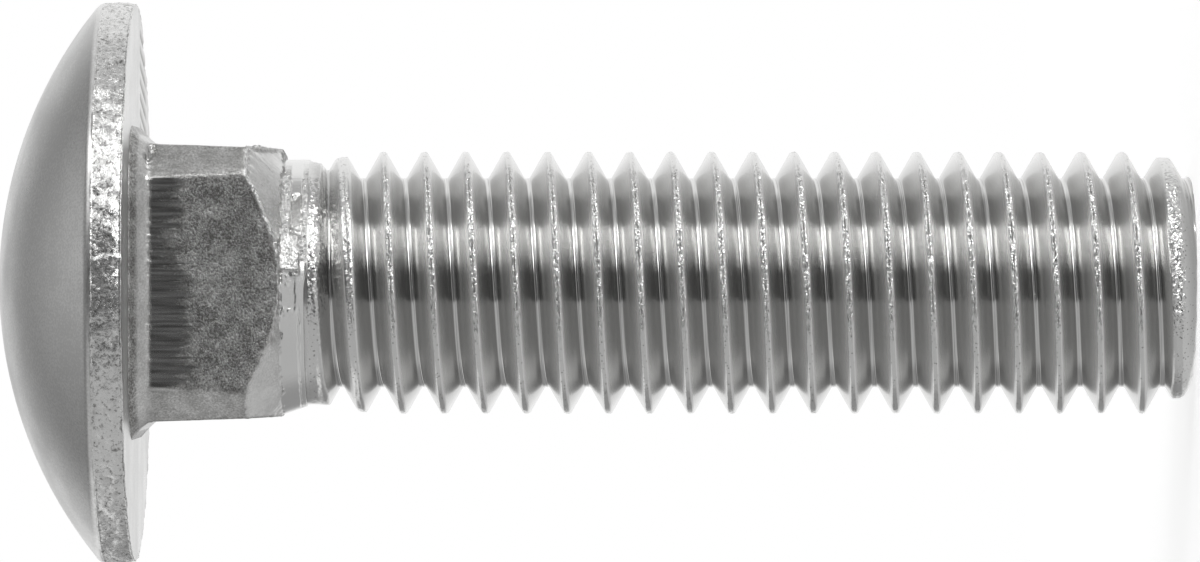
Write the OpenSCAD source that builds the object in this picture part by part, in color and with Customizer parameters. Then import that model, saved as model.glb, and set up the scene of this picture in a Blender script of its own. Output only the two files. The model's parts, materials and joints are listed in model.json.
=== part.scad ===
// Round-head square-neck bolt, the fastener sold as a carriage bolt. It is cold headed from
// one piece of wire and its thread is rolled afterwards, so it is one solid.
// It stands on the end of its thread. The origin is the centre of that end face, and +Z runs
// up the shank to the domed head.

/* [Head] */
// Diameter of the head
head_d = 26.7; // [22:0.1:34]
// Height of the head above its bearing face
head_h = 6.5; // [5:0.1:9]
// Height of the upright rim, from the bearing face to its top bevel
rim_h = 1.55; // [1:0.05:2.2]
// Width of the bevel between rim and dome, measured across the bolt
rim_bevel_w = 0.2; // [0.1:0.05:0.4]
// Height of the bevel between rim and dome
rim_bevel_h = 0.3; // [0.2:0.05:0.6]
// Size of the bevel that breaks the rim's lower edge
rim_foot_bevel = 0.12; // [0.05:0.01:0.3]

/* [Neck] */
// Distance from the bearing face to the end of the flats, at their middle
neck_h = 7; // [5.5:0.1:12]
// How much wider the flats are than the thread, so that the thread clears the square hole
neck_over_thread = 0.64; // [0.3:0.01:1.5]
// How much narrower the neck is at its thread end, which lets the forging leave its die
neck_taper = 0.45; // [0:0.05:0.6]
// How far each rounded corner stops short of a sharp one
corner_loss = 1.05; // [0.8:0.05:1.8]
// Slope of the cone that ends the neck, measured from the bolt's axis
neck_cone_angle = 50; // [35:1:65]
// How far the flare under the head stands out from each flat
flare_w = 0.85; // [0.2:0.05:1.1]
// Height of the flare under the head
flare_h = 0.8; // [0.3:0.05:1.2]

/* [Shank] */
// Length under the head, from the bearing face to the end of the thread
shank_l = 50.2; // [25:0.1:80]
// Length of the plain collar, from the foot of the neck's cone to the thread
collar_l = 0.85; // [0.3:0.05:5]
// How far the collar stands out from the blank that the thread is rolled on
collar_step = 0.12; // [0.05:0.01:0.25]

/* [Thread] */
// Outside diameter of the thread
thread_d = 12.46; // [10:0.01:16]
// Number of threads in an inch
threads_per_inch = 13; // [10:1:16]
// How much thicker the blank is than the thread's pitch diameter
blank_over_pitch_d = 0.2; // [0:0.01:0.3]
// Turns over which the thread fades into the collar
runout_turns = 1.5; // [0.5:0.1:3]
// Where the crest of the thread would reach the end face, as an angle round the bolt
thread_start_angle = 117; // [0:1:360]
// How far the end face stays inside the bottom of the thread
end_inset = 0.08; // [0.02:0.01:1]
// Height of the bevel that breaks the edge of the end face
end_bevel_h = 0.25; // [0.1:0.01:0.5]
// How far the top of that bevel stands out from the bottom of the thread
end_bevel_out = 0.25; // [0.05:0.01:0.5]
// Slope of the tapered point above the bevel, measured from the bolt's axis
point_angle = 25; // [18:1:60]

/* [Hidden] */
$fn = 96;

// How far a cutting shape runs past the surface that it cuts
past = 1;
// How far a shape runs on inside the one that it grows from
lap = 1;

// Unified thread form: flanks at 60 degrees to each other, with the crest cut off flat at an
// eighth of the pitch and the root at a sixth.
inch = 25.4;
flank_angle = 30;
pitch = inch / threads_per_inch;
crest_flat = pitch / 8;
root_flat = pitch / 6;
thread_h = (pitch - crest_flat - root_flat) / 2 / tan(flank_angle);
thread_r = thread_d / 2;
root_r = thread_r - thread_h;
pitch_r = thread_r - (pitch / 2 - crest_flat) / 2 / tan(flank_angle);
blank_r = pitch_r + blank_over_pitch_d / 2;
collar_r = blank_r + collar_step;
end_r = root_r - end_inset;
end_bevel_r = root_r + end_bevel_out;

// Heights above the end face
bearing_z = shank_l;
flats_end_z = bearing_z - neck_h;

// The cone between neck and collar starts at the collar and runs up to the corners. It passes
// through the end of the flats, at their middle.
neck_w = thread_d + neck_over_thread;
neck_end_w = neck_w - neck_taper;
corner_r = neck_w / sqrt(2) - corner_loss;
cone_slope = tan(neck_cone_angle);
cone_foot_z = flats_end_z - (neck_end_w / 2 - collar_r) / cone_slope;
neck_l = bearing_z - cone_foot_z;
thread_end_z = cone_foot_z - collar_l;

// The dome is the sphere through its top and the inner edge of the bevel.
head_r = head_d / 2;
dome_edge_r = head_r - rim_bevel_w;
dome_rise = head_h - rim_h - rim_bevel_h;
dome_r = (dome_edge_r * dome_edge_r + dome_rise * dome_rise) / (2 * dome_rise);

// The thread is one closed surface whose facets climb step by step round the axis. It starts
// a turn below the end face, where the point cuts it off, and ends inside the collar.
steps_per_turn = 36;
climb = pitch / steps_per_turn;
low_z = -pitch;
high_step = steps_per_turn + ceil((thread_end_z - low_z) / climb);

// The height of the thread's middle at a step, and the angle round the axis there
function step_z(i) = low_z + i * climb;
function step_angle(i) = thread_start_angle + i * 360 / steps_per_turn;

// Share of its full height that the thread has reached at a height above the end face. It
// stays a little above nothing, so that no facet shrinks to a line.
least_share = 0.05;
function share(z) = max(least_share, min(1, (thread_end_z - z) / (runout_turns * pitch)));

// Radius of the crest and of the root. The dies form the root twice as fast as the crest.
function crest_r(z) = blank_r + share(z) * (thread_r - blank_r);
function groove_r(z) = blank_r - min(1, 2 * share(z)) * (blank_r - root_r);

// Half the thickness of the thread at a radius. The flanks lie in the same place all along.
function half_thickness(r) = crest_flat / 2 + (thread_r - r) * tan(flank_angle);

function on_section(i, r, side) = [
    r * cos(step_angle(i)),
    r * sin(step_angle(i)),
    step_z(i) + side * half_thickness(r)
];

// The thread's outline at a step: root, crest, crest and root, from below to above.
function section(i) =
    let (crest = crest_r(step_z(i)), groove = groove_r(step_z(i)))
    [
        on_section(i, groove, -1),
        on_section(i, crest, -1),
        on_section(i, crest, 1),
        on_section(i, groove, 1)
    ];

module rolled_thread() {
    corners = 4;
    rows = [for (i = [0:high_step]) each section(i)];
    low_tip = len(rows);
    high_tip = low_tip + 1;
    tips = [[0, 0, step_z(0) - pitch], [0, 0, step_z(high_step) + pitch]];

    // Flank, crest and flank, from each step to the next
    ridge = [
        for (i = [0:high_step - 1], k = [0:corners - 2])
            let (here = corners * i + k, next = here + corners)
            [here, here + 1, next + 1, next]
    ];
    // Root, from each step to the one a turn above it
    root = [
        for (i = [0:high_step - steps_per_turn - 1])
            let (here = corners * (i + 1) - 1, above = corners * (i + steps_per_turn))
            [here, above, above + corners, here + corners]
    ];
    // Each end closes on the axis: round one turn, and along the section where it began.
    turn_above_start = corners * steps_per_turn;
    low_loop = concat(
        [for (i = [0:steps_per_turn]) corners * i],
        [for (k = [corners - 1:-1:1]) k]
    );
    top_start = corners * (high_step - steps_per_turn);
    high_loop = concat(
        [for (i = [0:steps_per_turn]) top_start + corners * i + corners - 1],
        [for (k = [corners - 2:-1:0]) corners * high_step + k]
    );
    low_end = fan(low_tip, low_loop, false);
    high_end = fan(high_tip, high_loop, true);
    polyhedron(concat(rows, tips), concat(ridge, root, low_end, high_end), convexity = 10);
}

// Triangles from a tip to each edge of a closed loop of points
function fan(tip, loop, flip) = [
    for (i = [0:len(loop) - 1])
        let (a = loop[i], b = loop[(i + 1) % len(loop)])
        flip ? [tip, b, a] : [tip, a, b]
];

// What the rolled thread is trimmed to: a flat end face, its bevelled edge and a tapered point
module pointed_end() {
    wide_r = thread_r + past;
    point_h = (wide_r - end_bevel_r) / tan(point_angle);
    cylinder(h = end_bevel_h, r1 = end_r, r2 = end_bevel_r);
    translate([0, 0, end_bevel_h]) {
        cylinder(h = point_h, r1 = end_bevel_r, r2 = wide_r);
        translate([0, 0, point_h]) cylinder(h = bearing_z, r = wide_r);
    }
}

module threaded_shank() {
    intersection() {
        rolled_thread();
        pointed_end();
    }
}

// The plain collar, run on inside the neck
module collar() {
    translate([0, 0, thread_end_z]) cylinder(h = collar_l + lap, r = collar_r);
}

// Side view of the square bar: tapered flats that flare out under the head, run on inside it.
// Its heights are measured up from the foot of the cone.
neck_half_side = [
    [neck_end_w / 2, 0],
    [neck_w / 2, neck_l - flare_h],
    [neck_w / 2 + flare_w, neck_l],
    [neck_w / 2 + flare_w, neck_l + lap]
];
neck_side = concat(
    neck_half_side,
    [for (i = [len(neck_half_side) - 1:-1:0]) [-neck_half_side[i].x, neck_half_side[i].y]]
);

module square_bar() {
    intersection_for(turn = [0, 90])
        rotate([90, 0, turn])
            linear_extrude(neck_w + 2 * flare_w + past, center = true) polygon(neck_side);
}

// Turned outline that rounds the bar's corners and bevels its end down to the collar
module neck_envelope() {
    cone_h = (corner_r - collar_r) / cone_slope;
    cylinder(h = cone_h, r1 = collar_r, r2 = corner_r);
    translate([0, 0, cone_h]) cylinder(h = neck_l + lap - cone_h, r = corner_r);
}

module square_neck() {
    translate([0, 0, cone_foot_z]) intersection() {
        square_bar();
        neck_envelope();
    }
}

module domed_head() {
    inner_r = dome_edge_r - rim_bevel_w;
    translate([0, 0, bearing_z]) rotate_extrude() intersection() {
        translate([0, head_h - dome_r]) circle(r = dome_r);
        polygon([
            [0, 0],
            [head_r - rim_foot_bevel, 0],
            [head_r, rim_foot_bevel],
            [head_r, rim_h],
            [inner_r, rim_h + 2 * rim_bevel_h],
            [inner_r, head_h + past],
            [0, head_h + past]
        ]);
    }
}

module carriage_bolt() {
    color("silver") {
        domed_head();
        square_neck();
        collar();
        threaded_shank();
    }
}

carriage_bolt();
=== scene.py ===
import json
import math

import bpy
import numpy as np
from mathutils import Matrix, Vector, noise


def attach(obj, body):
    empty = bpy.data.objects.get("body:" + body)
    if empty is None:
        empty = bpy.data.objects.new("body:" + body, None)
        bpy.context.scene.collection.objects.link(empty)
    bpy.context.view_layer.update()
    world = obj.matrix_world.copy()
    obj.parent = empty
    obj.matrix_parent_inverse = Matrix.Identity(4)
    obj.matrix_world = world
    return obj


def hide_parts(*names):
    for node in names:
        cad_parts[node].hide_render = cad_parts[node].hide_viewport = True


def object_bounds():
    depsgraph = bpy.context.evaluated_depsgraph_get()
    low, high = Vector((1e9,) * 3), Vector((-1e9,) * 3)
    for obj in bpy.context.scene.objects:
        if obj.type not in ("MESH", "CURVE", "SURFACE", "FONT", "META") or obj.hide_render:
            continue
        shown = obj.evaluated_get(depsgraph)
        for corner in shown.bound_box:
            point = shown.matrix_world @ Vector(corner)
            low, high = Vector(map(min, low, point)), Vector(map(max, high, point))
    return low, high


bl_info = {
    "name": "Carriage Bolt",
    "version": (1, 0, 0),
    "blender": (4, 5, 0),
    "location": "View3D > Sidebar > Bolt",
    "description": "Builds the forged and rolled surface of a carriage bolt around its CAD frame",
    "category": "Add Mesh",
}

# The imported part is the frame. Its box and its mounts give the sizes that both share.
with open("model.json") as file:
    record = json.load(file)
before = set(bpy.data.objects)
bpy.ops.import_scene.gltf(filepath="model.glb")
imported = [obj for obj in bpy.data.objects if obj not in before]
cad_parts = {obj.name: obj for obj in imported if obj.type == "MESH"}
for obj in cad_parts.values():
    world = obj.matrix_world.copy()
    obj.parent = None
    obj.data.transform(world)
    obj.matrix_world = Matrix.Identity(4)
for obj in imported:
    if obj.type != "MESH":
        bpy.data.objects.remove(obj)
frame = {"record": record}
CAD_LOW, CAD_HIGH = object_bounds()
MM = 0.001
MOUNTS = {mount["name"]: mount for mount in frame["record"]["mounts"]}
BEARING_Z = MOUNTS["bearing_face"]["pos_m"][2]
THREAD_R = MOUNTS["thread"]["dims"]["r_mm"] * MM
THREAD_TOP = MOUNTS["thread"]["dims"]["length_mm"] * MM
NECK_H = MOUNTS["square_neck"]["dims"]["length_mm"] * MM
HEAD_R = (CAD_HIGH.x - CAD_LOW.x) / 2
HEAD_TOP = CAD_HIGH.z
PITCH = 25.4 / 13 * MM
# The point's trimmed slope widens by 0.75 mm of radius for each millimetre of height.
TRIM_ANGLE = math.degrees(math.atan(0.75))
# Turns of the thread's sheet below the end face, and as many above the thread
SPARE_TURNS = 2

# The bolt is looked at along +Y, so this is the angle round its axis that faces the viewer.
FRONT = -math.pi / 2
# Columns of faces round the head and the neck: about a tenth of a millimetre apart on the rim
COLUMNS = 720


def length(name, description, millimetres):
    """A size in a settings group, given in millimetres and kept in metres."""
    return bpy.props.FloatProperty(
        name=name,
        description=description,
        default=millimetres * MM,
        min=0.0,
        precision=5,
        unit="LENGTH",
        subtype="DISTANCE",
    )


def turn(name, description, degrees):
    """An angle in a settings group, given in degrees and kept in radians."""
    return bpy.props.FloatProperty(
        name=name, description=description, default=math.radians(degrees), subtype="ANGLE"
    )


def share(name, description, value):
    """A share from 0 to 1 in a settings group."""
    return bpy.props.FloatProperty(
        name=name, description=description, default=value, min=0.0, max=1.0, subtype="FACTOR"
    )


def amount(name, description, value):
    """A number property with no unit, from none up to 20."""
    return bpy.props.FloatProperty(
        name=name, description=description, default=value, min=0.0, soft_max=20.0
    )


def linear(code):
    """The linear colour of an sRGB hex code such as "8A8C8E"."""
    parts = [int(code[i : i + 2], 16) / 255 for i in (0, 2, 4)]
    return [p / 12.92 if p <= 0.04045 else ((p + 0.055) / 1.055) ** 2.4 for p in parts] + [1.0]


def colour(name, description, code):
    """A colour in a settings group, given as an sRGB hex code."""
    return bpy.props.FloatVectorProperty(
        name=name, description=description, default=linear(code), size=4, min=0.0, max=1.0,
        subtype="COLOR",
    )


class HeadSizes(bpy.types.PropertyGroup):
    diameter: length("Diameter", "Diameter of the head, over its rim", 2 * HEAD_R / MM)
    rim_height: length("Rim height", "Height of the upright rim above the bearing face", 1.42)
    bevel_width: length("Bevel width", "Width of the bevel between rim and dome", 0.22)
    bevel_height: length("Bevel height", "Height of the bevel between rim and dome", 0.4)
    bevel_round: length("Bevel round", "How far the bevel's middle stands out", 0.05)
    barrel: length("Barrel", "How far the rim falls back at its two edges", 0.1)
    foot: length("Foot bevel", "Bevel that breaks the lower edge of the rim", 0.05)
    pit_size: length("Pit size", "Distance between the pits of the forged rim", 0.25)
    pit_depth: length("Pit depth", "Depth of the pits of the forged rim", 0.035)
    mark_spacing: length("Mark spacing", "Distance between the tool marks under the head", 0.75)
    mark_depth: length("Mark depth", "Depth of the tool marks under the head", 0.07)


class NeckSizes(bpy.types.PropertyGroup):
    width: length("Width", "Width over the flats just under the flare", 2 * THREAD_R / MM + 0.64)
    taper: length("Taper", "How much narrower the flats are at the thread end", 0.45)
    corner: length("Corner radius", "Radius round the axis of the rounded corners", 8.2)
    flare_width: length("Flare width", "How far the flare stands out from each flat", 0.85)
    flare_height: length("Flare height", "Height of the flare under the head", 0.95)
    cone_angle: turn("Cone angle", "Slope of the cone that ends the neck", 50)
    collar: length("Collar radius", "Radius of the plain collar under the neck", 5.8155)
    lip: length("Torn lip", "Height of the torn lip where the flats end", 0.2)
    seed: bpy.props.IntProperty(name="Seed", description="Changes the torn shapes", default=3)


def own_settings(group):
    """The settings that a group has of its own, beside those that every group has."""
    return [entry for entry in group.bl_rna.properties if entry.identifier not in ("rna_type", "name")]


# The thread's node tree has an input for each of these, by the same name.
class ThreadSizes(bpy.types.PropertyGroup):
    pitch: length("Pitch", "Distance from crest to crest along the bolt", PITCH / MM)
    radius: length("Crest radius", "Outside radius of the thread", THREAD_R / MM)
    root: length("Root radius", "Radius at the bottom of the groove", 4.985)
    blank: length("Blank radius", "Radius of the wire before its thread was rolled", 5.6955)
    collar: length("Collar radius", "Radius of the plain collar above the thread", 5.8155)
    top: length("Thread top", "Height at which the thread has faded out", THREAD_TOP / MM)
    runout: bpy.props.FloatProperty(
        name="Run-out", description="Turns over which the crest fades out", default=1.5, min=0.1
    )
    start: turn("Start angle", "Angle at which the crest would reach the end face", 117)
    end: length("End radius", "Radius of the flat end face", 4.9515)
    bevel_radius: length("Bevel radius", "Outside radius of the bevel round the end face", 5.35)
    bevel_height: length("Bevel height", "Height of the bevel round the end face", 0.25)
    point_angle: turn("Point angle", "Slope of the crests along the point, above the bevel", 25)
    trim_angle: turn("Trim angle", "Slope to which the point is trimmed above the bevel", TRIM_ANGLE)
    seam_width: length("Seam width", "Half width of the fissure that rolling leaves in the crest", 0.04)
    seam_depth: length("Seam depth", "Depth of the fissure in the crest", 0.02)
    seam_side: turn("Seam side", "Angle at which the fissure gapes most", -72)


class SteelFinish(bpy.types.PropertyGroup):
    bright: colour("Bright steel", "Bare steel where a die or roller has burnished it", "E6E6E5")
    skin: colour("Wire skin", "Steel that keeps the dull skin of the drawn wire", "D6D6D5")
    scale: colour("Scale", "Dark scale left in pits and folds", "7A7977")
    dome_roughness: share("Dome roughness", "Roughness of the pressed dome", 0.3)
    flank_roughness: share("Flank roughness", "Roughness of the rolled flanks", 0.16)
    skin_roughness: share("Skin roughness", "Roughness of the wire's skin", 0.36)


class StageSettings(bpy.types.PropertyGroup):
    floor_radius: length("Floor radius", "Radius of the round floor", 150)
    distance: length("Camera distance", "Distance from the bolt's axis to the camera", 400)
    view_length: length("View length", "Length of the axis that fills the long side", 57.197)
    aim_height: length("Aim height", "Height of the middle of the view", 28.12)
    aim_side: length("Aim side", "How far the middle of the view is to the side", 0.083)
    screen_radius: length("Screen radius", "Distance from the axis to the light screens", 260)
    screen_top: length("Screen top", "Height of the top of the light screens", 330)
    screen_foot: length("Screen foot", "How far the light screens reach below the floor", 330)
    low_glow: amount("Low strip glow", "Brightness of the lower strip light; 1 is white", 10.0)
    high_glow: amount("High strip glow", "Brightness of the upper strip light; 1 is white", 8.0)
    low_drop: length("Low strip drop", "How far the lower strip is below the floor", 95)
    high_rise: length("High strip rise", "Height of the upper strip's middle", 150)
    strip_height: length("Strip height", "Height of each strip light", 40)
    strip_lean: turn("Strip lean", "Turn of the strips' inner ends for 100 mm of height", 10)
    card_radius: length("Card radius", "Radius of the cards overhead and underneath", 550)


def feed(tree, node, inputs):
    """Gives each input, named or in order, a value, or a link from a socket or a node's first."""
    for place, given in inputs.items() if isinstance(inputs, dict) else enumerate(inputs):
        source = given.outputs[0] if isinstance(given, bpy.types.Node) else given
        if isinstance(source, bpy.types.NodeSocket):
            tree.links.new(source, node.inputs[place])
        else:
            node.inputs[place].default_value = source


# A list gives a node's inputs in order: a Map Range's are Value, From Min, From Max, To Min and To
# Max. A Mix has its factor at 0, its two numbers at 2 and 3, and its two colours at 6 and 7.
def add(tree, kind, inputs=None, **settings):
    """Adds a node to a tree with its settings, and feeds its inputs. A short kind is a shader's."""
    node = tree.nodes.new(kind if "Node" in kind else "ShaderNode" + kind)
    for name, value in settings.items():
        setattr(node, name, value)
    feed(tree, node, inputs or [])
    return node


def grain(points, size, seed):
    """Smooth noise from -1 to 1 at each point of a grid, with lumps about one size across."""
    shift = Vector((17.3, 31.7, 57.1)) * seed
    places = (points / size).reshape(-1, 3).tolist()
    values = [noise.noise(Vector(place) + shift) for place in places]
    return np.array(values).reshape(points.shape[:-1])


def ramp(values, start, end):
    """Rises smoothly from 0 at start to 1 at end."""
    x = np.clip((values - start) / (end - start), 0.0, 1.0)
    return x * x * (3 - 2 * x)


def span(values, start, full, fading, end):
    """Rises smoothly from 0 at start to 1 at full, and falls from fading back to 0 at end."""
    return ramp(values, start, full) * ramp(-values, -end, -fading)


def ridge(values, middle, width):
    """A round ridge: 1 at its middle, and nearly 0 from two widths away."""
    return np.exp(-(((values - middle) / width) ** 2))


def soft_least(a, b, width):
    """The lesser of two heights, with the corner between them rounded over a width."""
    h = np.clip(0.5 + 0.5 * (b - a) / width, 0.0, 1.0)
    return b + (a - b) * h - width * h * (1 - h)


def around(radius, angle, height):
    """Points from a radius, an angle round the axis and a height, one grid for each."""
    radius, angle, height = np.broadcast_arrays(radius, angle, height)
    return np.stack([radius * np.cos(angle), radius * np.sin(angle), height], axis=-1)


def closed_skin(name, rings, low_tip, high_tip):
    """A closed mesh: rings of points round the axis, and a point on the axis at each end."""
    rows, columns = rings.shape[:2]
    here = np.arange(rows * columns).reshape(rows, columns)
    beside = np.roll(here, -1, axis=1)
    sides = np.stack([here[:-1], beside[:-1], beside[1:], here[1:]], axis=-1).reshape(-1, 4)
    low = np.full(columns, rows * columns)
    low_fan = np.stack([beside[0], here[0], low], axis=-1)
    high_fan = np.stack([here[-1], beside[-1], low + 1], axis=-1)
    points = rings.reshape(-1, 3).tolist() + [(0.0, 0.0, low_tip), (0.0, 0.0, high_tip)]
    mesh = bpy.data.meshes.new(name)
    mesh.from_pydata(points, [], sides.tolist() + low_fan.tolist() + high_fan.tolist())
    mesh.shade_smooth()
    return mesh


def paint(mesh, name, values):
    """Keeps a value from 0 to 1 at each point, for a material to read. The tips get none."""
    attribute = mesh.attributes.new(name, "FLOAT", "POINT")
    attribute.data.foreach_set("value", np.append(values.ravel(), [0.0, 0.0]))


def finish_piece(mesh, name, materials):
    """Puts a finished mesh in the scene as a piece of the one steel body."""
    piece = bpy.data.objects.new(name, mesh)
    bpy.context.scene.collection.objects.link(piece)
    mesh.materials.clear()
    for material in materials:
        mesh.materials.append(material)
    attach(piece, "root")
    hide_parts("carriage_bolt")
    return piece


# A pattern's Scale is given as so many lumps in a millimetre, over MM.
def new_steel(name, *painted):
    """A new metal material: its tree, shader and Object coordinates, and what was painted."""
    material = bpy.data.materials.new(name)
    material.use_nodes = True
    tree = material.node_tree
    shader = tree.nodes["Principled BSDF"]
    shader.inputs["Metallic"].default_value = 1.0
    place = add(tree, "TexCoord").outputs["Object"]
    values = [add(tree, "Attribute", attribute_name=value).outputs["Fac"] for value in painted]
    return material, tree, shader, place, *values


def facets(tree, place, size, tilt, normal):
    """Turns the little facets of torn or forged steel, each about one size across, its own way."""
    cells = add(tree, "TexVoronoi", {"Vector": place, "Scale": 1.0 / size})
    aside = add(tree, "VectorMath", [cells.outputs["Color"], (0.5, 0.5, 0.5)], operation="SUBTRACT")
    aside = add(tree, "VectorMath", {0: aside, "Scale": tilt}, operation="SCALE")
    turned = add(tree, "VectorMath", [aside, normal], operation="ADD")
    return add(tree, "VectorMath", [turned], operation="NORMALIZE")


def coat(tree, shader, finish, dark, rough, normal):
    """Finishes a shader: bright steel that darkens to scale, its roughness and its normal."""
    tint = add(tree, "Mix", {0: dark, 6: finish.bright, 7: finish.scale}, data_type="RGBA")
    feed(tree, shader, {"Base Color": tint.outputs[2], "Roughness": rough, "Normal": normal})


def pressed_dome_steel(finish):
    """Stainless steel pressed in a polished die: satin, with the die's faint turning lines."""
    material, tree, shader, place, scored = new_steel("stainless_steel_pressed", "pit")
    across = add(tree, "VectorMath", [place, (1.0, 1.0, 0.0)], operation="MULTIPLY")
    radius = add(tree, "VectorMath", [across], operation="LENGTH").outputs["Value"]
    # Turning lines 0.25 mm apart: the real ones are finer, and are drawn as coarse as they show.
    lines = add(tree, "TexNoise", {"W": radius, "Scale": 4 / MM, "Detail": 2.0}, noise_dimensions="1D")
    cloud = add(tree, "TexNoise", {"Vector": place, "Scale": 0.35 / MM, "Detail": 3.0})
    speck = add(tree, "TexNoise", {"Vector": place, "Scale": 9 / MM, "Detail": 2.0})
    tone = add(tree, "MapRange", [cloud, 0.3, 0.7])
    dust = add(tree, "MapRange", [speck, 0.35, 0.65, -0.5, 0.9])
    tone = add(tree, "Math", [tone, dust], operation="ADD", use_clamp=True)
    tint = add(tree, "Mix", {0: tone, 6: finish.bright, 7: finish.skin}, data_type="RGBA")
    tint = add(tree, "Mix", {0: scored, 6: tint.outputs[2], 7: finish.scale}, data_type="RGBA")
    rough = add(tree, "MapRange", [cloud, 0.3, 0.7, finish.dome_roughness - 0.03,
                                   finish.dome_roughness + 0.05])
    fine = add(tree, "Bump", {"Height": speck, "Distance": 0.002 * MM, "Strength": 1.0})
    bump = add(tree, "Bump", {"Height": lines, "Distance": 0.0025 * MM, "Strength": 1.0, "Normal": fine})
    feed(tree, shader, {"Base Color": tint.outputs[2], "Roughness": rough, "Normal": bump})
    return material


def forged_skin_steel(finish):
    """Stainless steel forged without a die against it: pebbled and dull, with dark pits."""
    material, tree, shader, place, pit = new_steel("stainless_steel_forged_skin", "pit")
    pebble = add(tree, "TexNoise", {"Vector": place, "Scale": 5.5 / MM, "Detail": 4.0, "Roughness": 0.65})
    blotch = add(tree, "TexNoise", {"Vector": place, "Scale": 1.1 / MM, "Detail": 3.0})
    tone = add(tree, "MapRange", [blotch, 0.35, 0.65, -0.2, 0.12])
    hollow = add(tree, "MapRange", [pebble, 0.38, 0.46, 0.7, 0.0])
    tone = add(tree, "Math", [tone, hollow], operation="ADD")
    dark = add(tree, "Math", [pit, 0.3, tone], operation="MULTIPLY_ADD", use_clamp=True)
    rough = add(tree, "MapRange", [pebble, 0.3, 0.7, finish.skin_roughness - 0.18,
                                   finish.skin_roughness - 0.06])
    bump = add(tree, "Bump", {"Height": pebble, "Distance": 0.03 * MM, "Strength": 1.0})
    turned = facets(tree, place, 0.14 * MM, 0.18, bump)
    coat(tree, shader, finish, dark, rough, turned)
    return material


def neck_steel(finish):
    """Stainless steel squeezed into a square die: drawn lines, dull skin and torn bright edges."""
    material, tree, shader, place, torn, drawn, burnished = new_steel(
        "stainless_steel_die_drawn", "torn", "drawn", "burnished"
    )
    pebble = add(tree, "TexNoise", {"Vector": place, "Scale": 10 / MM, "Detail": 3.0, "Roughness": 0.7})
    stretched = add(tree, "Mapping", {"Vector": place, "Scale": (1.0, 1.0, 0.03)})
    lines = add(tree, "TexNoise", {"Vector": stretched, "Scale": 7 / MM, "Detail": 3.0})
    blotch = add(tree, "TexNoise", {"Vector": place, "Scale": 1.3 / MM, "Detail": 3.0})
    speck = add(tree, "MapRange", [pebble, 0.3, 0.7, 0.95, -0.05])
    tone = add(tree, "MapRange", [blotch, 0.35, 0.65, 0.05, 0.43])
    tone = add(tree, "Math", [speck, tone], operation="ADD", use_clamp=True)
    lined = add(tree, "MapRange", [lines, 0.35, 0.65, 0.8, 0.1])
    tone = add(tree, "Mix", {0: drawn, 2: tone, 3: lined}, data_type="FLOAT")
    crumbs = add(tree, "TexNoise", {"Vector": place, "Scale": 9 / MM, "Detail": 3.0, "Roughness": 0.7})
    gap = add(tree, "MapRange", [crumbs, 0.32, 0.38, 1.0, 0.0])
    gap = add(tree, "Math", [gap, torn], operation="MULTIPLY")
    clean = add(tree, "Math", [torn, burnished], operation="MAXIMUM")
    left = add(tree, "Math", [1.0, clean], operation="SUBTRACT")
    dark = add(tree, "Math", [tone, left], operation="MULTIPLY")
    dark = add(tree, "Math", [dark, gap], operation="MAXIMUM")
    smooth = add(tree, "Math", [drawn, burnished], operation="MAXIMUM")
    rough = add(tree, "MapRange", [smooth, 0.0, 1.0, finish.skin_roughness, finish.flank_roughness + 0.04])
    height = add(tree, "Mix", {0: smooth, 2: pebble, 3: lines}, data_type="FLOAT")
    depth = add(tree, "MapRange", [smooth, 0.0, 1.0, 1.0, 0.25])
    bump = add(tree, "Bump", {"Height": height, "Distance": 0.03 * MM, "Strength": depth})
    bump = add(tree, "Bump", {"Height": crumbs, "Distance": 0.06 * MM, "Strength": torn, "Normal": bump})
    turned = facets(tree, place, 0.09 * MM, torn, bump)
    coat(tree, shader, finish, dark, rough, turned)
    return material


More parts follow.
